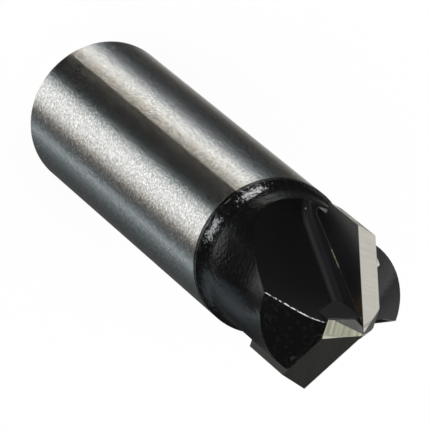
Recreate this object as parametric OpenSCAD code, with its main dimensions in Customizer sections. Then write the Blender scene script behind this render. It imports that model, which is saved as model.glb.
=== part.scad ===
// V-groove router bit: a turned steel body whose shank and head are one piece, with two milled flutes,
// and in each wing a carbide plate brazed into a milled seat. Lands and point are ground after brazing.
// Millimetres. The origin is the centre of the shank's flat end and +Z runs to the point.
// The right-hand wing's rake face lies in the plane y = 0; the other wing is the same, half a turn on.

/* [Shank] */
// Diameter of the shank
shank_d = 12; // [11.5:0.5:16]
// Length of the shank from its flat end to the shoulder
shank_l = 34; // [20:1:60]
// Chamfer round the flat end
shank_chamfer = 0.5; // [0.2:0.1:1]

/* [Head] */
// Diameter of the turned head behind the cutting edges
head_d = 11; // [10:0.25:11.5]
// Radius of the fillet from the shoulder down to the head
shoulder_r = 2.5; // [1:0.5:4]
// How far the steel nose stays below the V of the cutting edges, along the axis
nose_set = 0.9; // [0.6:0.1:1.5]

/* [Cutting edges] */
// Cutting diameter across the two corners
cut_d = 12.7; // [12.5:0.1:16]
// Included angle of the V
v_angle = 95; // [80:1:110]
// Height of the cutting corners above the shoulder
corner_h = 11; // [10:0.5:14]
// Length ground off the sharp V at the point
point_blunt = 0.1; // [0.05:0.05:0.3]
// Clearance of the V lands, square to the edge
land_clearance = 21; // [15:1:25]
// Clearance of the side lands
side_clearance = 18; // [14:1:22]
// Angle of the relief at the shank end of the side lands
end_relief = 37; // [20:1:45]

/* [Carbide plates] */
// Thickness of a plate
plate_t = 1.85; // [1.4:0.05:2.2]
// Width of a plate at the height of its cutting corner
plate_w = 3.75; // [3.2:0.05:4]
// Length of a plate from its cutting corner down to the foot of its seat
plate_side_l = 6.45; // [5:0.05:7]
// Angle of the plate's inner edge to the axis
plate_lean = 21; // [18:1:24]
// Thickness of the braze between a plate and its seat
braze_t = 0.12; // [0.08:0.02:0.2]

/* [Flutes] */
// Diameter of the flute cutter at its end
flute_cutter_d = 6; // [5:0.25:7]
// Radius of the gullet between rake face and heel wall
gullet_r = 0.8; // [0.4:0.1:1.2]
// Lean of the heel wall, away from the rake face
heel_lean = 10; // [4:1:14]
// Slope of the flute's floor to the axis
flute_slope = 24; // [20:1:26]
// Height above the shoulder of the cutter's centre where the flute runs out
flute_start_h = 5.5; // [4.5:0.1:6.5]
// Height above the shoulder where the floor turns parallel to the axis
flute_bend_h = 14.2; // [13.5:0.1:15]
// How far the heel wall's root lies past the axis at the point
heel_set = 0.18; // [0.05:0.01:0.3]

/* [Point grind] */
// Direction that the relief behind the point faces, round the axis
relief_turn = 91; // [85:1:95]
// Upward tilt of that relief
relief_tilt = 40; // [35:1:45]
// Direction that the second facet of the point faces, towards the flute
facet_turn = 54.5; // [45:0.5:60]
// Upward tilt of that facet
facet_tilt = 35.5; // [30:0.5:40]
// How far from the axis the web's flute side meets the rake face
web_set = 0.9; // [0.7:0.05:1.1]
// Lean of the web's flute side, away from the rake face
web_lean = 26.5; // [20:0.5:32]

/* [Hidden] */
$fn = 96;
gullet_steps = 10;
run_lap = 0.01;
blank_turn = 45;
half_v = v_angle / 2;
shank_r = shank_d / 2;
head_r = head_d / 2;
cut_r = cut_d / 2;
cutter_r = flute_cutter_d / 2;
corner_z = shank_l + corner_h;
sharp_z = corner_z + cut_r / tan(half_v);
point_z = sharp_z - point_blunt;
nose_apex_z = sharp_z - nose_set;
nose_foot_z = nose_apex_z - head_r / tan(half_v);
shoulder_step = max(shank_r - head_r, 0);
fillet_r = max(shoulder_r, shoulder_step);
fillet_z = shank_l + sqrt(fillet_r * fillet_r - pow(fillet_r - shoulder_step, 2));
plate_foot_z = corner_z - plate_side_l;
reach = 2 * cut_d;
above_z = sharp_z + 2;

function half_turns() = [0, 180];

// x of the plate's inner edge at height z, moved towards the axis by a gap square to the edge
function inner_edge_x(z, gap) = cut_r - plate_w - tan(plate_lean) * (z - corner_z) - gap / cos(plate_lean);

// An outline drawn in x and z, given the thickness t behind the plane y = front_y
module plate_like(front_y, t) {
    translate([0, front_y, 0])
        rotate([90, 0, 0])
            linear_extrude(t)
                children();
}

// The outline of a plate or its seat, larger by the gap at its inner edge and foot
module plate_outline(gap) {
    foot_z = plate_foot_z - gap;
    polygon([
        [inner_edge_x(foot_z, gap), foot_z],
        [reach, foot_z],
        [reach, above_z],
        [inner_edge_x(above_z, gap), above_z]
    ]);
}

// All that lies beyond a plane through p whose face looks round by turn and up by tilt
module beyond_plane(p, turn, tilt) {
    translate(p)
        rotate([0, 90 - tilt, turn])
            translate([-reach, -reach, 0])
                cube(2 * reach);
}

// The turned blank: chamfered shank, shoulder fillet, head and nose cone.
// It stands turned a little, so that the start of its outline lies in neither rake face.
module blank() {
    rotate([0, 0, blank_turn]) rotate_extrude()
        difference() {
            polygon([
                [0, 0],
                [shank_r - shank_chamfer, 0],
                [shank_r, shank_chamfer],
                [shank_r, shoulder_step > 0 ? fillet_z : shank_l],
                [head_r, shoulder_step > 0 ? fillet_z : shank_l],
                [head_r, nose_foot_z],
                [0, nose_apex_z]
            ]);
            if (shoulder_step > 0)
                translate([head_r + fillet_r, fillet_z])
                    circle(fillet_r);
        }
}

// The crest that stands above the nose between the plates, before grinding
module crest() {
    for (turn = half_turns())
        rotate([0, 0, turn])
            plate_like(0, plate_t)
                polygon([
                    [-plate_t / 2, plate_foot_z],
                    [inner_edge_x(plate_foot_z, 0), plate_foot_z],
                    [inner_edge_x(above_z, 0), above_z],
                    [-plate_t / 2, above_z]
                ]);
}

// A point of the cutter's rounded corner, from its flat end (a = 0) towards its side
function corner_point(a) = [cutter_r - gullet_r + gullet_r * sin(a), gullet_r * (1 - cos(a))];

// Half of the flute cutter's outline: flat end, corner round in fine steps, and tapered side
module cutter_half() {
    corner_arc = 90 - heel_lean;
    side = corner_point(corner_arc);
    polygon([
        [0, 0],
        for (i = [0:gullet_steps]) corner_point(corner_arc * i / gullet_steps),
        [side.x + tan(heel_lean) * (cut_d - side.y), cut_d],
        [0, cut_d]
    ]);
}

// The cutter run straight along x for a length, with a hair more at each end, so that runs and turns join
module cutter_run(l) {
    translate([-run_lap, 0, 0])
        rotate([90, 0, 90])
            linear_extrude(l + 2 * run_lap) {
                cutter_half();
                mirror([1, 0]) cutter_half();
            }
}

// One flute: the cutter stands square on the rake face, starts at the run-out,
// follows the sloping floor to the bend and then goes straight up past the point
module flute() {
    start_z = shank_l + flute_start_h;
    bend_z = shank_l + flute_bend_h;
    bend_x = cutter_r - heel_set;
    start_x = bend_x + tan(flute_slope) * (bend_z - start_z);
    rotate([-90, 0, 0]) {
        translate([start_x, -start_z, 0])
            rotate([0, 0, -90 - flute_slope]) {
                cutter_run((bend_z - start_z) / cos(flute_slope));
                rotate([0, 0, 90]) rotate_extrude(angle = 180) cutter_half();
            }
        translate([bend_x, -bend_z, 0]) {
            rotate([0, 0, -90]) cutter_run(above_z - bend_z);
            rotate([0, 0, 180 - flute_slope]) rotate_extrude(angle = flute_slope) cutter_half();
        }
    }
}

// What the grinding wheel takes off a V land
module above_v_land() {
    translate([cut_r, 0, corner_z])
        rotate([0, 90 - half_v, 0])
            rotate([land_clearance, 0, 0])
                translate([-reach, -reach, 0])
                    cube(2 * reach);
}

// What the two facets behind the point take off the crest
module point_relief() {
    tip = [0, 0, point_z];
    intersection() {
        translate([-reach, 0, shank_l]) cube([2 * reach, plate_t + braze_t, 2 * reach]);
        union() {
            beyond_plane(tip, relief_turn, relief_tilt);
            beyond_plane(tip, facet_turn, facet_tilt);
        }
    }
}

// Steel, braze and plates are ground together: both V lands and the facets of the point
module ground() {
    difference() {
        children();
        for (turn = half_turns())
            rotate([0, 0, turn]) {
                above_v_land();
                point_relief();
            }
    }
}

// One carbide plate, with its side land and the relief at the land's shank end
module carbide_plate() {
    color("lightgray")
        ground()
            difference() {
                plate_like(0, plate_t) plate_outline(0);
                beyond_plane([cut_r, 0, corner_z], -side_clearance, 0);
                difference() {
                    translate([0, -plate_t, plate_foot_z])
                        rotate([end_relief, 0, 0])
                            translate([0, -reach, -2 * reach])
                                cube(2 * reach);
                    cylinder(r = head_r, h = corner_z);
                }
            }
}

// The milled seat of a plate, with room for the braze, open towards the flute in front of it
module plate_seat() {
    plate_like(cutter_r, cutter_r + plate_t + braze_t) plate_outline(braze_t);
}

// The braze that fills the seat behind, beside and below a plate
module braze_joint() {
    color("darkgoldenrod")
        ground()
            difference() {
                intersection() {
                    plate_like(0, plate_t + braze_t) plate_outline(braze_t);
                    union() {
                        blank();
                        crest();
                    }
                }
                plate_like(0, plate_t) plate_outline(0);
            }
}

// The part of the crest that the flute in front of it leaves standing, so that the point has a web
module web() {
    difference() {
        translate([-reach, 0, shank_l]) cube([2 * reach, plate_t, 2 * reach]);
        beyond_plane([web_set, 0, point_z], web_lean, 0);
    }
}

module bit_body() {
    color("dimgray")
        ground()
            difference() {
                union() {
                    blank();
                    crest();
                }
                for (turn = half_turns())
                    rotate([0, 0, turn])
                        difference() {
                            flute();
                            web();
                        }
                for (turn = half_turns()) rotate([0, 0, turn]) plate_seat();
            }
}

module carbide_tip_a() { carbide_plate(); }
module carbide_tip_b() { rotate([0, 0, 180]) carbide_plate(); }
module braze_joint_a() { braze_joint(); }
module braze_joint_b() { rotate([0, 0, 180]) braze_joint(); }

bit_body();
carbide_tip_a();
carbide_tip_b();
braze_joint_a();
braze_joint_b();
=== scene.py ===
"""The looks of a v-groove router bit: ground steel shank, black-enamelled head, brazed carbide wings.

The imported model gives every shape. This script gives each node the finish of the real surface, and
sets the floor, the studio and the camera.
Lengths in the CAD are millimetres; Blender works in metres.
"""

import logging
import math
from dataclasses import dataclass
from enum import Enum
from typing import Any, Dict, List, Optional, Sequence, Tuple, Union

import bpy
from mathutils import Matrix, Vector

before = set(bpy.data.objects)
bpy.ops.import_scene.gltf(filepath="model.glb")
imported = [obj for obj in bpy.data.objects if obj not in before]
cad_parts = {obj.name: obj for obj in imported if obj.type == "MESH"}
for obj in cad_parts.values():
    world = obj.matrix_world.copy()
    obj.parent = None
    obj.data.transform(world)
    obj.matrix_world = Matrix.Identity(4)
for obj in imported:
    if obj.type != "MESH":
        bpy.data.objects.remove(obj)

LOG = logging.getLogger("router_bit")
MM = 0.001
PICTURE_WIDTH = 430
SENSOR_MM = 36.0

Colour = Tuple[float, float, float, float]
Triple = Tuple[float, float, float]
Signal = Union[bpy.types.Node, bpy.types.NodeSocket]


class Wing(Enum):
    """The two cutting wings, by the ending of their nodes' names."""

    A = "a"
    B = "b"


def linear(hex_colour: str) -> Colour:
    """Turns an sRGB colour into the linear colour that a shader takes.

    Args:
        hex_colour: Six hex digits, such as "a0a0a0".

    Returns:
        Linear red, green, blue and an alpha of 1.
    """
    channels = [int(hex_colour[i:i + 2], 16) / 255 for i in (0, 2, 4)]
    red, green, blue = [c / 12.92 if c <= 0.04045 else ((c + 0.055) / 1.055) ** 2.4 for c in channels]
    return red, green, blue, 1.0


def add_node(tree: bpy.types.NodeTree, kind: str, inputs: Optional[Dict[Any, Any]] = None,
             **settings: Any) -> bpy.types.Node:
    """Adds a node with its settings, its values and its links.

    Args:
        tree: The node tree that gets the node.
        kind: The node's type.
        inputs: For each socket, by name or number, a value, a socket, or a node for its first output.
        settings: Properties of the node.

    Returns:
        The new node.
    """
    node = tree.nodes.new(kind)
    for name, value in settings.items():
        setattr(node, name, value)
    for key, value in (inputs or {}).items():
        if isinstance(value, bpy.types.Node):
            value = value.outputs[0]
        if isinstance(value, bpy.types.NodeSocket):
            tree.links.new(value, node.inputs[key])
        else:
            node.inputs[key].default_value = value
    return node


def set_ramp(node: bpy.types.Node, stops: Sequence[Tuple[float, Colour]]) -> bpy.types.Node:
    """Puts the given stops on a colour ramp.

    Args:
        node: The colour ramp.
        stops: Place from 0 to 1 and linear colour of each stop, in order. A ramp holds 32 at most.

    Returns:
        The same node.
    """
    ramp = node.color_ramp
    ramp.elements[0].position, ramp.elements[0].color = stops[0]
    ramp.elements[1].position, ramp.elements[1].color = stops[-1]
    for place, colour in stops[1:-1]:
        ramp.elements.new(place).color = colour
    return node


def patches(size_mm: float) -> float:
    """The noise scale that gives patches of a real size."""
    return 0.5 / (size_mm * MM)


def grey(level: float) -> Colour:
    """A neutral linear colour."""
    return level, level, level, 1.0


def tinted(hex_colour: str, level: float) -> Colour:
    """A linear colour of that tint, made lighter or darker by a level."""
    red, green, blue, _ = linear(hex_colour)
    return red * level, green * level, blue * level, 1.0


def direction(azimuth: float, elevation: float) -> Vector:
    """The unit vector for an azimuth from +x towards +y and a height above the horizon, in degrees."""
    az, el = math.radians(azimuth), math.radians(elevation)
    return Vector((math.cos(el) * math.cos(az), math.cos(el) * math.sin(az), math.sin(el)))


def deselect_all() -> None:
    """Leaves nothing selected, so that an operator acts on its own piece only."""
    bpy.ops.object.select_all(action="DESELECT")


def dress_node(name: str, finish: bpy.types.Material) -> None:
    """Puts a finish on every material slot of a CAD node.

    Args:
        name: The node's name.
        finish: The material.
    """
    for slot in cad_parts[name].material_slots:
        slot.material = finish
    LOG.info("%s: %s", name, finish.name)


@dataclass(frozen=True)
class GroundSteel:
    """Alloy steel, centreless ground: a satin metal with fine grain round the shank.

    The real grain is about 0.02 mm, too fine to show, so it is drawn at 0.07 mm.
    """

    bright: str = "e6e6e4"
    dull: str = "a4a4a2"
    roughness: float = 0.17
    roughness_spread: float = 0.05
    anisotropy: float = 0.45
    grain_mm: float = 0.07
    grain_stretch: float = 1.2
    grain_depth_mm: float = 0.0105


@dataclass(frozen=True)
class GroundLand:
    """Steel and carbide left bare by the grinding wheel, with the wheel's scratches across.

    The real scratches are a few hundredths of a millimetre apart, and are drawn coarser so that they show.
    """

    bright: str = "dcdbd3"
    dull: str = "d1d0c8"
    relief_bright: str = "bfc0b7"
    relief_dull: str = "92948a"
    roughness: float = 0.28
    scratch_mm: float = 0.09
    scratch_depth_mm: float = 0.01
    relief_mark_mm: float = 0.11
    steel_across: Triple = (0.35, 0.0, -0.94)
    plate_across: Triple = (0.5, 0.2, -0.84)
    relief_across: Triple = (0.0, -0.643, 0.766)


@dataclass(frozen=True)
class BlackEnamel:
    """Gloss black baking enamel, sprayed over the head: near black, with orange peel and specks.

    It pools above the shoulder, where its orange peel is strongest, and lies thin and rough in the flutes,
    drawn darker there as painted shade.
    """

    deep: str = "0d0d0e"
    worn: str = "1a1a1b"
    # Pale colour of the bare heel edge: partly real bare steel, partly a painted highlight.
    chip_glint: str = "e4e6e6"
    # Darker colour of the flutes: painted shade of the recesses.
    shaded_flutes: str = "181819"
    roughness: float = 0.12
    milled_roughness: float = 0.6
    specular_level: float = 0.22
    pool_mm: float = 1.25
    pool_foot_mm: float = 34.6
    pool_top_mm: float = 44.5
    peel_mm: float = 0.55
    peel_depth_mm: float = 0.04
    speck_mm: float = 0.16
    speck_depth_mm: float = 0.05
    coarse_below_mm: float = 36.5
    fine_above_mm: float = 39.0
    fine_share: float = 0.45
    edge_z_mm: float = 33.6
    edge_wave_mm: float = 0.16
    edge_wave_length_mm: float = 1.6
    edge_blur_mm: float = 0.04
    edge_step_mm: float = 0.06


@dataclass(frozen=True)
class SinteredCarbide:
    """Tungsten carbide under the dark coat of its rake face, bare and grey where it is ground."""

    coat: str = "0e0e0f"
    coat_glow: str = "3a2d1b"
    coat_roughness: float = 0.22
    specular_level: float = 0.3
    glow_from_mm: float = 47.6
    glow_to_mm: float = 49.6
    glow_patch_mm: float = 0.8


@dataclass(frozen=True)
class BrazeBrass:
    """Silver-brass braze: warm and bright where it was wiped clean, dark under the overspray."""

    clean: str = "d9cfae"
    stained: str = "17130e"
    roughness: float = 0.35
    stained_below_mm: float = 42.0
    clean_from_mm: float = 42.5
    clean_to_mm: float = 44.0
    stained_above_mm: float = 45.0
    blotch_mm: float = 0.3
    blotch_depth_mm: float = 0.03


@dataclass(frozen=True)
class GroundFaces:
    """The normals of the faces that are ground after brazing, for the wing on the +x side."""

    rake: Triple = (0.0, 1.0, 0.0)
    v_land: Triple = (0.6307, -0.3584, 0.6883)
    relief: Triple = (-0.0134, 0.7659, 0.6428)
    facet: Triple = (0.4728, 0.6628, 0.5807)


class Recipe:
    """The node tree of one material, with what several finishes share."""

    def __init__(self, name: str) -> None:
        """Starts an empty material.

        Args:
            name: The material's name.
        """
        self.material = bpy.data.materials.new(name)
        self.material.use_nodes = True
        self.tree = self.material.node_tree
        self.tree.nodes.clear()
        coords = add_node(self.tree, "ShaderNodeTexCoord")
        self.place = coords.outputs["Object"]
        self.normal = coords.outputs["Normal"]

    def add(self, kind: str, inputs: Optional[Dict[Any, Any]] = None, **settings: Any) -> bpy.types.Node:
        """Adds a node to this material, as add_node does."""
        return add_node(self.tree, kind, inputs, **settings)

    def close(self, shader: bpy.types.Node) -> bpy.types.Material:
        """Joins the shader to the output.

        Args:
            shader: The material's last shader.

        Returns:
            The finished material.
        """
        self.add("ShaderNodeOutputMaterial", {"Surface": shader})
        return self.material

    def facing(self, normal: Triple, least: float = 0.998) -> bpy.types.Node:
        """A mask of the faces that look the way of a normal or of its half-turn copy.

        Args:
            normal: The face's direction on the wing on the +x side.
            least: The least cosine that counts.

        Returns:
            A node that gives 1 on those faces and 0 elsewhere.
        """
        flat = self.add("ShaderNodeVectorMath", {0: self.normal, 1: (normal[0], normal[1], 0.0)},
                        operation="DOT_PRODUCT")
        flat = self.add("ShaderNodeMath", {0: flat.outputs["Value"]}, operation="ABSOLUTE")
        parts = self.add("ShaderNodeSeparateXYZ", {0: self.normal})
        whole = self.add("ShaderNodeMath", {0: parts.outputs["Z"], 1: normal[2], 2: flat},
                         operation="MULTIPLY_ADD")
        return self.add("ShaderNodeMath", {0: whole, 1: least}, operation="GREATER_THAN")

    def height(self, from_mm: float, to_mm: float) -> bpy.types.Node:
        """A soft mask that goes from 0 at one height on the bit to 1 at another.

        Args:
            from_mm: The height with 0.
            to_mm: The height with 1, above or below the first.

        Returns:
            A node that gives the mask.
        """
        parts = self.add("ShaderNodeSeparateXYZ", {0: self.place})
        return self.add("ShaderNodeMapRange", {
            "Value": parts.outputs["Z"], "From Min": from_mm * MM, "From Max": to_mm * MM},
            interpolation_type="SMOOTHSTEP")

    def scratches(self, across: Triple, pitch_mm: float) -> bpy.types.Node:
        """Straight grinding marks: noise that changes fast in one direction and slowly in the others.

        Args:
            across: The direction in which the marks follow each other.
            pitch_mm: The marks' spacing.

        Returns:
            The noise node.
        """
        step = self.add("ShaderNodeVectorMath", {0: self.place, 1: across}, operation="DOT_PRODUCT")
        row = self.add("ShaderNodeCombineXYZ", {"X": step.outputs["Value"]})
        slow = self.add("ShaderNodeVectorMath", {0: self.place, "Scale": 0.06}, operation="SCALE")
        point = self.add("ShaderNodeVectorMath", {0: row, 1: slow}, operation="ADD")
        return self.add("ShaderNodeTexNoise", {"Vector": point, "Scale": patches(pitch_mm),
                                               "Detail": 3.0, "Roughness": 0.6})

    def ground_tone(self, land: GroundLand, marks: bpy.types.Node) -> bpy.types.Node:
        """The colour of a ground land, which changes a little from one scratch to the next.

        Args:
            land: The ground finish.
            marks: The land's scratches.

        Returns:
            A mix node; its colour is output 2.
        """
        share = self.add("ShaderNodeMapRange", {"Value": marks, "From Min": 0.35, "From Max": 0.65})
        return self.add("ShaderNodeMix", {0: share, 6: linear(land.dull), 7: linear(land.bright)},
                        data_type="RGBA")


@dataclass
class BodyMasks:
    """What lies where on the steel body: each node gives 1 there and 0 elsewhere."""

    above_line: Signal
    ground: Signal
    chips_and_glint: Signal
    shaded_flutes: Signal
    enamelled: Signal
    shaded_flute_coat: Signal
    gloss: Signal


@dataclass
class SteelBody:
    """The turned body: a ground shank below, a head under black enamel above, and bare ground faces."""

    steel: GroundSteel = GroundSteel()
    enamel: BlackEnamel = BlackEnamel()
    land: GroundLand = GroundLand()
    faces: GroundFaces = GroundFaces()
    head_r_mm: float = 5.5
    nose_apex_mm: float = 49.919
    nose_half_angle: float = 47.5
    nose_skin_mm: float = 0.03
    head_skin_mm: float = 0.04
    # The band along the heel edge that is drawn pale: partly real wear, partly a painted highlight.
    heel_wear_and_glint_mm: float = 0.07
    heel_chip_glint_mm: float = 0.12
    crest_half_mm: float = 1.86

    def above_paint_line(self, recipe: Recipe) -> bpy.types.Node:
        """Where the enamel was sprayed: above a slightly wavy line on the shank.

        Args:
            recipe: The material in the making.

        Returns:
            A node that gives 1 above the line.
        """
        enamel = self.enamel
        wave = recipe.add("ShaderNodeTexNoise", {"Vector": recipe.place, "Detail": 3.0,
                                                 "Scale": patches(enamel.edge_wave_length_mm)})
        parts = recipe.add("ShaderNodeSeparateXYZ", {0: recipe.place})
        lift = recipe.add("ShaderNodeMath", {0: wave, 1: enamel.edge_wave_mm * MM, 2: parts.outputs["Z"]},
                          operation="MULTIPLY_ADD")
        middle_mm = enamel.edge_z_mm + enamel.edge_wave_mm / 2
        return recipe.add("ShaderNodeMapRange", {
            "Value": lift, "From Min": (middle_mm - enamel.edge_blur_mm) * MM,
            "From Max": (middle_mm + enamel.edge_blur_mm) * MM})

    def below_skin(self, recipe: Recipe) -> Tuple[bpy.types.Node, bpy.types.NodeSocket]:
        """How far a point lies below the nose cone, and how far from the bit's axis.

        Args:
            recipe: The material in the making.

        Returns:
            The distance to the cone's surface, and the distance from the axis.
        """
        parts = recipe.add("ShaderNodeSeparateXYZ", {0: recipe.place})
        flat = recipe.add("ShaderNodeCombineXYZ", {"X": parts.outputs["X"], "Y": parts.outputs["Y"]})
        radius = recipe.add("ShaderNodeVectorMath", {0: flat}, operation="LENGTH").outputs["Value"]
        half = math.radians(self.nose_half_angle)
        depth = recipe.add("ShaderNodeMath", {0: self.nose_apex_mm * MM, 1: parts.outputs["Z"]},
                           operation="SUBTRACT")
        depth = recipe.add("ShaderNodeMath", {0: depth, 1: math.sin(half)}, operation="MULTIPLY")
        inset = recipe.add("ShaderNodeMath", {0: radius, 1: -math.cos(half), 2: depth},
                           operation="MULTIPLY_ADD")
        return inset, radius

    def shaded_flutes(self, recipe: Recipe) -> bpy.types.Node:
        """The flutes, which lie below the skin of the head and of the nose cone, and which are drawn darker
        as painted shade.

        Args:
            recipe: The material in the making.

        Returns:
            A node that gives 1 in the flutes.
        """
        inset, radius = self.below_skin(recipe)
        deep = recipe.add("ShaderNodeMath", {0: inset, 1: self.nose_skin_mm * MM},
                          operation="GREATER_THAN")
        inner_mm = self.head_r_mm - self.head_skin_mm
        inner = recipe.add("ShaderNodeMath", {0: radius, 1: inner_mm * MM}, operation="LESS_THAN")
        return recipe.add("ShaderNodeMath", {0: deep, 1: inner}, operation="MULTIPLY")

    def heel_wear_and_glint(self, recipe: Recipe) -> bpy.types.Node:
        """Where the enamel is broken off the heel edge, between the flute's wall and the nose cone. The edge
        is drawn pale: partly real bare steel, partly a painted highlight.

        Args:
            recipe: The material in the making.

        Returns:
            A node that gives 1 on the bare edge.
        """
        inset, _ = self.below_skin(recipe)
        parts = recipe.add("ShaderNodeSeparateXYZ", {0: recipe.place})
        chips_and_glint = recipe.add("ShaderNodeTexNoise", {"Vector": recipe.place, "Detail": 3.0,
                                                  "Scale": patches(self.heel_chip_glint_mm)})
        chips_and_glint = recipe.add("ShaderNodeMapRange", {"Value": chips_and_glint, "From Min": 0.36, "From Max": 0.62})
        width = recipe.add("ShaderNodeMath", {0: chips_and_glint, 1: 2 * self.heel_wear_and_glint_mm * MM},
                           operation="MULTIPLY")
        near = recipe.add("ShaderNodeMath", {0: inset, 1: width}, operation="LESS_THAN")
        beside = recipe.add("ShaderNodeMath", {0: parts.outputs["Y"]}, operation="ABSOLUTE")
        beside = recipe.add("ShaderNodeMath", {0: beside, 1: self.crest_half_mm * MM},
                            operation="GREATER_THAN")
        near = recipe.add("ShaderNodeMath", {0: near, 1: beside}, operation="MULTIPLY")
        side = recipe.add("ShaderNodeMath", {0: parts.outputs["Y"]}, operation="SIGN")
        look = recipe.add("ShaderNodeSeparateXYZ", {0: recipe.normal})
        wall = recipe.add("ShaderNodeMath", {0: look.outputs["X"], 1: side}, operation="MULTIPLY")
        wall = recipe.add("ShaderNodeMath", {0: wall, 1: 0.75}, operation="GREATER_THAN")
        return recipe.add("ShaderNodeMath", {0: near, 1: wall}, operation="MULTIPLY")

    def masks(self, recipe: Recipe) -> BodyMasks:
        """Works out where each of the body's finishes lies.

        Args:
            recipe: The material in the making.

        Returns:
            The masks.
        """
        above_line = self.above_paint_line(recipe)
        ground = recipe.facing(self.faces.v_land)
        for normal in (self.faces.relief, self.faces.facet):
            ground = recipe.add("ShaderNodeMath", {0: ground, 1: recipe.facing(normal)},
                                operation="MAXIMUM")
        chips_and_glint = self.heel_wear_and_glint(recipe)
        # The flutes, where the colour is drawn darker as painted shade.
        shaded_flutes = self.shaded_flutes(recipe)
        bare = recipe.add("ShaderNodeMath", {0: ground, 1: chips_and_glint}, operation="MAXIMUM")
        enamelled = recipe.add("ShaderNodeMath", {0: above_line, 1: bare}, operation="SUBTRACT",
                               use_clamp=True)
        shaded_flute_coat = recipe.add("ShaderNodeMath", {0: shaded_flutes, 1: enamelled}, operation="MULTIPLY")
        gloss = recipe.add("ShaderNodeMath", {0: enamelled, 1: shaded_flutes}, operation="SUBTRACT",
                           use_clamp=True)
        return BodyMasks(above_line, ground, chips_and_glint, shaded_flutes, enamelled, shaded_flute_coat, gloss)

    def tone(self, recipe: Recipe, masks: BodyMasks, grain: Signal, specks: Signal) -> bpy.types.Node:
        """Mixes the colours of the steel, the ground faces and the enamel.

        Args:
            recipe: The material in the making.
            masks: Where each finish lies.
            grain: The steel's grain.
            specks: The enamel's specks.

        Returns:
            A mix node; its colour is output 2.
        """
        grain_share = recipe.add("ShaderNodeMapRange", {"Value": grain, "From Min": 0.3, "From Max": 0.7})
        steel = recipe.add("ShaderNodeMix", {0: grain_share, 6: linear(self.steel.dull),
                                             7: linear(self.steel.bright)}, data_type="RGBA")
        marks = recipe.scratches(self.land.relief_across, self.land.relief_mark_mm)
        marks = recipe.add("ShaderNodeMapRange", {"Value": marks, "From Min": 0.38, "From Max": 0.62})
        relief = recipe.add("ShaderNodeMix", {0: marks, 6: linear(self.land.relief_dull),
                                              7: linear(self.land.relief_bright)}, data_type="RGBA")
        marks = recipe.scratches(self.land.steel_across, self.land.scratch_mm)
        land = recipe.ground_tone(self.land, marks)
        land = recipe.add("ShaderNodeMix", {0: recipe.facing(self.faces.relief), 6: land.outputs[2],
                                            7: relief.outputs[2]}, data_type="RGBA")
        metal = recipe.add("ShaderNodeMix", {0: masks.ground, 6: steel.outputs[2], 7: land.outputs[2]},
                           data_type="RGBA")
        speck_share = recipe.add("ShaderNodeMapRange", {"Value": specks, "From Min": 0.55,
                                                        "From Max": 0.75})
        coat = recipe.add("ShaderNodeMix", {0: speck_share, 6: linear(self.enamel.deep),
                                            7: linear(self.enamel.worn)}, data_type="RGBA")
        tone = recipe.add("ShaderNodeMix", {0: masks.enamelled, 6: metal.outputs[2], 7: coat.outputs[2]},
                          data_type="RGBA")
        # Painted highlight, partly real bare steel: the heel edge drawn pale.
        tone = recipe.add("ShaderNodeMix", {0: masks.chips_and_glint, 6: tone.outputs[2],
                                            7: linear(self.enamel.chip_glint)}, data_type="RGBA")
        # Painted shade: the flutes drawn in a darker colour.
        return recipe.add("ShaderNodeMix", {0: masks.shaded_flute_coat, 6: tone.outputs[2],
                                            7: linear(self.enamel.shaded_flutes)}, data_type="RGBA")

    def roughness(self, recipe: Recipe, masks: BodyMasks, grain: Signal) -> bpy.types.Node:
        """Mixes how rough the steel and the enamel are.

        Args:
            recipe: The material in the making.
            masks: Where each finish lies.
            grain: The steel's grain.

        Returns:
            A node that gives the roughness.
        """
        steel = recipe.add("ShaderNodeMapRange", {
            "Value": grain, "To Min": self.steel.roughness - self.steel.roughness_spread,
            "To Max": self.steel.roughness + self.steel.roughness_spread})
        coat = recipe.add("ShaderNodeMix", {0: masks.shaded_flutes, 2: self.enamel.roughness,
                                            3: self.enamel.milled_roughness}, data_type="FLOAT")
        return recipe.add("ShaderNodeMix", {0: masks.enamelled, 2: steel, 3: coat}, data_type="FLOAT")

    def fine_relief(self, recipe: Recipe, masks: BodyMasks, grain: Signal, specks: Signal) -> bpy.types.Node:
        """The enamel's pooling, orange peel, specks and edge, and the steel's grain.

        Args:
            recipe: The material in the making.
            masks: Where each finish lies.
            grain: The steel's grain.
            specks: The enamel's specks.

        Returns:
            A bump node that gives the normal.
        """
        enamel = self.enamel
        pool = recipe.height(enamel.pool_top_mm, enamel.pool_foot_mm)
        pool = recipe.add("ShaderNodeMath", {0: pool, 1: masks.gloss}, operation="MULTIPLY")
        bumps = recipe.add("ShaderNodeBump", {"Height": pool, "Strength": 1.0,
                                              "Distance": enamel.pool_mm * MM})
        coarse = recipe.height(enamel.fine_above_mm, enamel.coarse_below_mm)
        coarse = recipe.add("ShaderNodeMapRange", {"Value": coarse, "To Min": enamel.fine_share})
        coarse = recipe.add("ShaderNodeMath", {0: coarse, 1: masks.gloss}, operation="MULTIPLY")
        peel = recipe.add("ShaderNodeTexNoise", {"Vector": recipe.place, "Detail": 2.0,
                                                 "Scale": patches(enamel.peel_mm)})
        for pattern, depth_mm in ((peel, enamel.peel_depth_mm), (specks, enamel.speck_depth_mm)):
            rise = recipe.add("ShaderNodeMath", {0: pattern, 1: coarse}, operation="MULTIPLY")
            bumps = recipe.add("ShaderNodeBump", {"Height": rise, "Strength": 1.0,
                                                  "Distance": depth_mm * MM, "Normal": bumps})
        bumps = recipe.add("ShaderNodeBump", {"Height": masks.above_line, "Strength": 0.8,
                                              "Distance": enamel.edge_step_mm * MM, "Normal": bumps})
        below_line = recipe.add("ShaderNodeMath", {0: 1.0, 1: masks.above_line}, operation="SUBTRACT")
        rise = recipe.add("ShaderNodeMath", {0: grain, 1: below_line}, operation="MULTIPLY")
        return recipe.add("ShaderNodeBump", {"Height": rise, "Strength": 1.0, "Normal": bumps,
                                             "Distance": self.steel.grain_depth_mm * MM})

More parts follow.
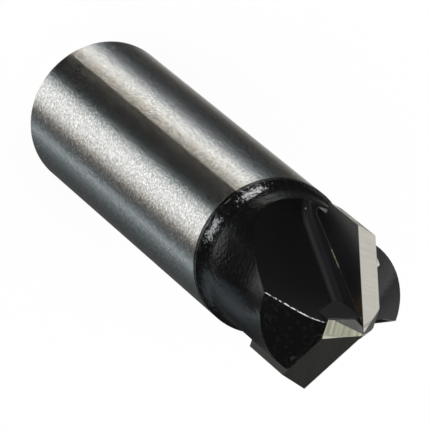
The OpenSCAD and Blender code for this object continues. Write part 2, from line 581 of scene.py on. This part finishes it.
    def material(self) -> bpy.types.Material:
        """Ground alloy steel below, gloss enamel above, bare metal on the ground faces.

        The steel gives long soft bands that run along the shank, the enamel gives a near-black form with
        small sharp highlights, and the ground faces give flat bright planes with fine parallel marks.

        Returns:
            The body's material.
        """
        recipe = Recipe("ground_steel_and_black_enamel")
        masks = self.masks(recipe)
        stretch = self.steel.grain_stretch
        around = recipe.add("ShaderNodeVectorMath", {0: recipe.place, 1: (1.0, 1.0, stretch)},
                            operation="MULTIPLY")
        grain = recipe.add("ShaderNodeTexNoise", {
            "Vector": around, "Scale": patches(self.steel.grain_mm * stretch),
            "Detail": 2.0, "Roughness": 0.5})
        specks = recipe.add("ShaderNodeTexNoise", {"Vector": recipe.place, "Detail": 2.0,
                                                   "Scale": patches(self.enamel.speck_mm)})
        # The thin dull coat in the flutes is drawn as a very dark metal, darker than the enamel elsewhere:
        # painted shade of the recesses. The bare heel edges are drawn as a pale plain surface, because so
        # narrow a bare edge catches
        # light from every side: partly real bare steel, partly a painted highlight.
        coat = recipe.add("ShaderNodeMath", {0: masks.enamelled, 1: masks.shaded_flute_coat}, operation="SUBTRACT")
        coat = recipe.add("ShaderNodeMath", {0: coat, 1: masks.chips_and_glint}, operation="MAXIMUM")
        metal = recipe.add("ShaderNodeMath", {0: 1.0, 1: coat}, operation="SUBTRACT")
        tangent = recipe.add("ShaderNodeTangent", direction_type="RADIAL", axis="Z")
        shader = recipe.add("ShaderNodeBsdfPrincipled", {
            "Base Color": self.tone(recipe, masks, grain, specks).outputs[2], "Metallic": metal,
            "Roughness": self.roughness(recipe, masks, grain),
            "Normal": self.fine_relief(recipe, masks, grain, specks), "Tangent": tangent,
            "Anisotropic": self.steel.anisotropy, "Anisotropic Rotation": 0.25,
            "Specular IOR Level": self.enamel.specular_level})
        return recipe.close(shader)

    def dress(self) -> None:
        """Gives the body's node its material."""
        dress_node("bit_body", self.material())


@dataclass
class CarbideWing:
    """One carbide plate and the braze that holds it."""

    wing: Wing
    carbide: SinteredCarbide = SinteredCarbide()
    land: GroundLand = GroundLand()
    brass: BrazeBrass = BrazeBrass()
    faces: GroundFaces = GroundFaces()

    def carbide_material(self) -> bpy.types.Material:
        """Sintered tungsten carbide, coated dark on its rake face and ground bare on its lands.

        The coat gives a smooth near-black face that warms to brown by the point, and the lands give
        bright grey planes with the wheel's marks across them.

        Returns:
            The plate's material.
        """
        recipe = Recipe("coated_and_ground_carbide_" + self.wing.value)
        rake = recipe.facing(self.faces.rake)
        marks = recipe.scratches(self.land.plate_across, self.land.scratch_mm)
        land = recipe.ground_tone(self.land, marks)
        glow_noise = recipe.add("ShaderNodeTexNoise", {"Vector": recipe.place, "Detail": 2.0,
                                                       "Scale": patches(self.carbide.glow_patch_mm)})
        glow = recipe.height(self.carbide.glow_from_mm, self.carbide.glow_to_mm)
        glow = recipe.add("ShaderNodeMath", {0: glow, 1: glow_noise}, operation="MULTIPLY")
        coat = recipe.add("ShaderNodeMix", {0: glow, 6: linear(self.carbide.coat),
                                            7: linear(self.carbide.coat_glow)}, data_type="RGBA")
        tone = recipe.add("ShaderNodeMix", {0: rake, 6: land.outputs[2], 7: coat.outputs[2]},
                          data_type="RGBA")
        metal = recipe.add("ShaderNodeMath", {0: 1.0, 1: rake}, operation="SUBTRACT")
        rough = recipe.add("ShaderNodeMix", {0: rake, 2: self.land.roughness,
                                             3: self.carbide.coat_roughness}, data_type="FLOAT")
        fine = recipe.add("ShaderNodeBump", {"Height": marks, "Strength": 0.06,
                                             "Distance": self.land.scratch_depth_mm * MM})
        shader = recipe.add("ShaderNodeBsdfPrincipled", {
            "Base Color": tone.outputs[2], "Metallic": metal, "Roughness": rough, "Normal": fine,
            "Specular IOR Level": self.carbide.specular_level})
        return recipe.close(shader)

    def braze_material(self) -> bpy.types.Material:
        """Brass braze, wiped clean for two millimetres beside the plate and dark under overspray elsewhere.

        It gives a short warm line beside the plate, broken by darker blotches, and the grey of the
        ground faces where the wheel went over it.

        Returns:
            The braze's material.
        """
        recipe = Recipe("brass_braze_" + self.wing.value)
        low = recipe.height(self.brass.clean_from_mm, self.brass.stained_below_mm)
        high = recipe.height(self.brass.clean_to_mm, self.brass.stained_above_mm)
        stain = recipe.add("ShaderNodeMath", {0: low, 1: high}, operation="MAXIMUM")
        blotch = recipe.add("ShaderNodeTexNoise", {"Vector": recipe.place, "Detail": 3.0,
                                                   "Scale": patches(self.brass.blotch_mm)})
        stain = recipe.add("ShaderNodeMath", {0: stain, 1: blotch}, operation="ADD")
        stain = recipe.add("ShaderNodeMapRange", {"Value": stain, "From Min": 0.45, "From Max": 0.75})
        tone = recipe.add("ShaderNodeMix", {0: stain, 6: linear(self.brass.clean),
                                            7: linear(self.brass.stained)}, data_type="RGBA")
        ground = recipe.add("ShaderNodeMath", {0: recipe.facing(self.faces.v_land),
                                               1: recipe.facing(self.faces.relief)},
                            operation="MAXIMUM")
        tone = recipe.add("ShaderNodeMix", {0: ground, 6: tone.outputs[2],
                                            7: linear(self.land.relief_bright)}, data_type="RGBA")
        stain = recipe.add("ShaderNodeMath", {0: stain, 1: ground}, operation="SUBTRACT", use_clamp=True)
        metal = recipe.add("ShaderNodeMath", {0: 1.0, 1: stain}, operation="SUBTRACT")
        bumps = recipe.add("ShaderNodeBump", {"Height": blotch, "Strength": 0.4,
                                              "Distance": self.brass.blotch_depth_mm * MM})
        shader = recipe.add("ShaderNodeBsdfPrincipled", {
            "Base Color": tone.outputs[2], "Metallic": metal, "Roughness": self.brass.roughness,
            "Normal": bumps})
        return recipe.close(shader)

    def dress(self) -> None:
        """Gives the plate's and the braze's nodes their materials."""
        dress_node("carbide_tip_" + self.wing.value, self.carbide_material())
        dress_node("braze_joint_" + self.wing.value, self.braze_material())


@dataclass(frozen=True)
class Window:
    """A round soft light in the studio's upper part: its middle, its inner and outer radius, its glow."""

    azimuth: float
    elevation: float
    inner: float
    outer: float
    level: float
    tint: str


@dataclass(frozen=True)
class SoftLamp:
    """A soft square lamp that looks at the bit's head, in degrees, millimetres and watts."""

    name: str = "soft_lamp"
    azimuth: float = 75.0
    elevation: float = 60.0
    size_mm: float = 300.0
    power_w: float = 0.7
    distance_mm: float = 500.0
    aim_z_mm: float = 42.0


@dataclass
class Studio:
    """A pale floor, white sheets and dark cards round the bit, soft windows and a lamp above it.

    The sheets are azimuth, level and tint of the light low round the bit, in the order of a colour ramp.
    Polished metal sees them below and the windows above; everything else sees plain white light.
    """

    floor_half_mm: float = 900.0
    paper: str = "f4f4f2"
    shown_white: float = 0.9
    plain_light: float = 0.95
    dark_upper: float = 0.028
    sheets_below: float = -0.8
    windows_above: float = -0.66
    lamp: SoftLamp = SoftLamp()
    sheets: Tuple[Tuple[float, float, str], ...] = (
        (-180, 0.13, "dfe8ec"), (-165, 0.08, "dfe8ec"), (-145, 0.085, "f0f0f0"), (-128, 0.11, "f0f0f0"),
        (-118, 0.4, "f4f0e8"), (-107, 1.0, "ffffff"), (-95, 0.48, "f4f0e8"), (-85, 0.28, "f0ece4"),
        (-70, 0.075, "f0ece4"), (-42, 0.06, "e4e8ec"), (-26, 0.17, "dce8ee"), (-15, 0.52, "e8f2f4"),
        (-5, 1.2, "ffffff"), (5, 1.36, "fffdf8"), (14, 0.72, "fff6e6"), (24, 0.12, "f2e4cc"),
        (34, 0.04, "f0e8dc"), (56, 0.036, "e4eaec"), (66, 0.16, "d4e6ea"), (75, 0.84, "eef6f6"),
        (85, 1.2, "ffffff"), (95, 1.32, "ffffff"), (105, 1.2, "ffffff"), (115, 0.86, "fffaf2"),
        (124, 0.24, "eee8e0"), (138, 0.13, "dde4e8"), (148, 0.22, "d4e2e8"), (153, 1.0, "e4f0f4"),
        (158, 0.45, "d4e2e8"), (168, 0.24, "d4e2e8"))
    windows: Tuple[Window, ...] = (
        Window(-60, -8, 14, 24, 0.72, "fffcfa"), Window(106, 18, 6, 15, 0.95, "fffdee"),
        Window(51, 15, 6, 14, 0.12, "f4faff"), Window(22, -15, 7, 15, 25.0, "ffffff"),
        Window(82, -12, 7, 15, 19.0, "f8fcff"), Window(152, -32, 10, 24, 0.75, "cfe4f0"),
        Window(-110, 12, 30, 60, 0.32, "f6f8fa"), Window(0, 90, 20, 55, 0.5, "ffffff"),
        Window(45, 42, 6, 26, 0.4, "ffffff"))

    def floor(self) -> None:
        """A pale paper floor that shows white and keeps a faint shadow; metal looks past it."""
        deselect_all()
        bpy.ops.mesh.primitive_plane_add(size=2 * self.floor_half_mm * MM, location=(0.0, 0.0, 0.0))
        floor = bpy.context.active_object
        floor.name = "paper_floor"
        recipe = Recipe("white_paper")
        paper = recipe.add("ShaderNodeBsdfDiffuse", {"Color": linear(self.paper)})
        white = recipe.add("ShaderNodeEmission", {"Color": grey(1.0), "Strength": 1.0})
        path = recipe.add("ShaderNodeLightPath")
        share = recipe.add("ShaderNodeMath", {0: path.outputs["Is Camera Ray"], 1: self.shown_white},
                           operation="MULTIPLY")
        shown = recipe.add("ShaderNodeMixShader", {0: share, 1: paper, 2: white})
        clear = recipe.add("ShaderNodeBsdfTransparent")
        past = recipe.add("ShaderNodeMixShader", {0: path.outputs["Is Glossy Ray"], 1: shown, 2: clear})
        floor.data.materials.append(recipe.close(past))

    def low_sheets(self, tree: bpy.types.NodeTree, parts: bpy.types.Node) -> bpy.types.Node:
        """The ring of white sheets and dark cards, by azimuth.

        Args:
            tree: The world's node tree.
            parts: The direction's x, y and z.

        Returns:
            The colour ramp.
        """
        turn = add_node(tree, "ShaderNodeMath", {0: parts.outputs["Y"], 1: parts.outputs["X"]},
                        operation="ARCTAN2")
        turn = add_node(tree, "ShaderNodeMath", {0: turn, 1: 0.5 / math.pi, 2: 0.5},
                        operation="MULTIPLY_ADD")
        stops = [((azimuth + 180) / 360, tinted(tint, level)) for azimuth, level, tint in self.sheets]
        stops.append((1.0, stops[0][1]))
        return set_ramp(add_node(tree, "ShaderNodeValToRGB", {0: turn}), stops)

    def high_windows(self, tree: bpy.types.NodeTree, way: bpy.types.NodeSocket) -> bpy.types.Node:
        """The dark upper studio with its soft windows.

        Args:
            tree: The world's node tree.
            way: The direction that a ray looks.

        Returns:
            A node that gives the colour.
        """
        high = add_node(tree, "ShaderNodeRGB")
        high.outputs[0].default_value = grey(self.dark_upper)
        for window in self.windows:
            middle = direction(window.azimuth, window.elevation)
            near = add_node(tree, "ShaderNodeVectorMath", {0: way, 1: tuple(middle)},
                            operation="DOT_PRODUCT")
            glow = add_node(tree, "ShaderNodeMapRange", {
                "Value": near.outputs["Value"], "From Min": math.cos(math.radians(window.outer)),
                "From Max": math.cos(math.radians(window.inner))}, interpolation_type="SMOOTHSTEP")
            colour = tinted(window.tint, window.level)[:3]
            lit = add_node(tree, "ShaderNodeVectorMath", {0: colour, "Scale": glow}, operation="SCALE")
            high = add_node(tree, "ShaderNodeVectorMath", {0: high, 1: lit}, operation="ADD")
        return high

    def world(self) -> None:
        """White to the camera, the studio to polished metal, and plain soft light to the rest."""
        world = bpy.data.worlds.new("studio")
        bpy.context.scene.world = world
        world.use_nodes = True
        tree = world.node_tree
        tree.nodes.clear()
        way = add_node(tree, "ShaderNodeTexCoord").outputs["Generated"]
        parts = add_node(tree, "ShaderNodeSeparateXYZ", {0: way})
        low = self.low_sheets(tree, parts)
        high = self.high_windows(tree, way)
        rise = add_node(tree, "ShaderNodeMapRange", {
            "Value": parts.outputs["Z"], "From Min": self.sheets_below,
            "From Max": self.windows_above}, interpolation_type="SMOOTHSTEP")
        studio = add_node(tree, "ShaderNodeMix", {0: rise, 6: low, 7: high}, data_type="RGBA")
        path = add_node(tree, "ShaderNodeLightPath")
        lit = add_node(tree, "ShaderNodeMix", {0: path.outputs["Is Glossy Ray"], 6: grey(self.plain_light),
                                               7: studio.outputs[2]}, data_type="RGBA")
        seen = add_node(tree, "ShaderNodeMath", {0: path.outputs["Is Camera Ray"],
                                                 1: path.outputs["Is Transmission Ray"]},
                        operation="MAXIMUM")
        colour = add_node(tree, "ShaderNodeMix", {0: seen, 6: lit.outputs[2], 7: grey(1.0)},
                          data_type="RGBA")
        light = add_node(tree, "ShaderNodeBackground", {"Color": colour.outputs[2], "Strength": 1.0})
        add_node(tree, "ShaderNodeOutputWorld", {"Surface": light})
        world.cycles.sampling_method = "NONE"

    def hang_lamp(self) -> None:
        """Hangs the soft lamp, turned to the bit's head."""
        data = bpy.data.lights.new(self.lamp.name, "AREA")
        data.shape = "SQUARE"
        data.size = self.lamp.size_mm * MM
        data.energy = self.lamp.power_w
        lamp = bpy.data.objects.new(self.lamp.name, data)
        bpy.context.collection.objects.link(lamp)
        way = direction(self.lamp.azimuth, self.lamp.elevation)
        lamp.location = Vector((0.0, 0.0, self.lamp.aim_z_mm * MM)) + way * self.lamp.distance_mm * MM
        lamp.rotation_euler = way.to_track_quat("Z", "Y").to_euler()

    def build(self) -> None:
        """Sets the floor, the world and the lamp."""
        self.floor()
        self.world()
        self.hang_lamp()


@dataclass
class PictureCamera:
    """The photograph's viewing angle, worked out from the bit's own edges."""

    place_mm: Triple = (100.8, 214.0, 429.9)
    right: Triple = (0.3007, -0.8727, 0.3847)
    forward: Triple = (-0.2151, -0.4551, -0.8641)
    focal_px: float = 6286.13
    near_m: float = 0.01
    far_m: float = 20.0

    def build(self) -> None:
        """Adds the camera and makes it the scene's."""
        data = bpy.data.cameras.new("picture_camera")
        data.sensor_fit = "AUTO"
        data.sensor_width = SENSOR_MM
        data.lens = self.focal_px * SENSOR_MM / PICTURE_WIDTH
        data.clip_start = self.near_m
        data.clip_end = self.far_m
        camera = bpy.data.objects.new("picture_camera", data)
        bpy.context.collection.objects.link(camera)
        ahead = Vector(self.forward).normalized()
        side = Vector(self.right)
        side = (side - ahead * side.dot(ahead)).normalized()
        up = side.cross(ahead)
        turn = Matrix((side, up, -ahead)).transposed().to_4x4()
        camera.matrix_world = Matrix.Translation(Vector(self.place_mm) * MM) @ turn
        bpy.context.scene.camera = camera


def main() -> None:
    """Builds the camera, the bit's finishes and the studio, and reports each piece."""
    logging.basicConfig(level=logging.INFO, format="%(name)s: %(message)s")
    bpy.context.scene.view_settings.view_transform = "Standard"
    PictureCamera().build()
    deselect_all()
    SteelBody().dress()
    for wing in Wing:
        CarbideWing(wing).dress()
    Studio().build()


if __name__ == "__main__":
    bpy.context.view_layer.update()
    main()
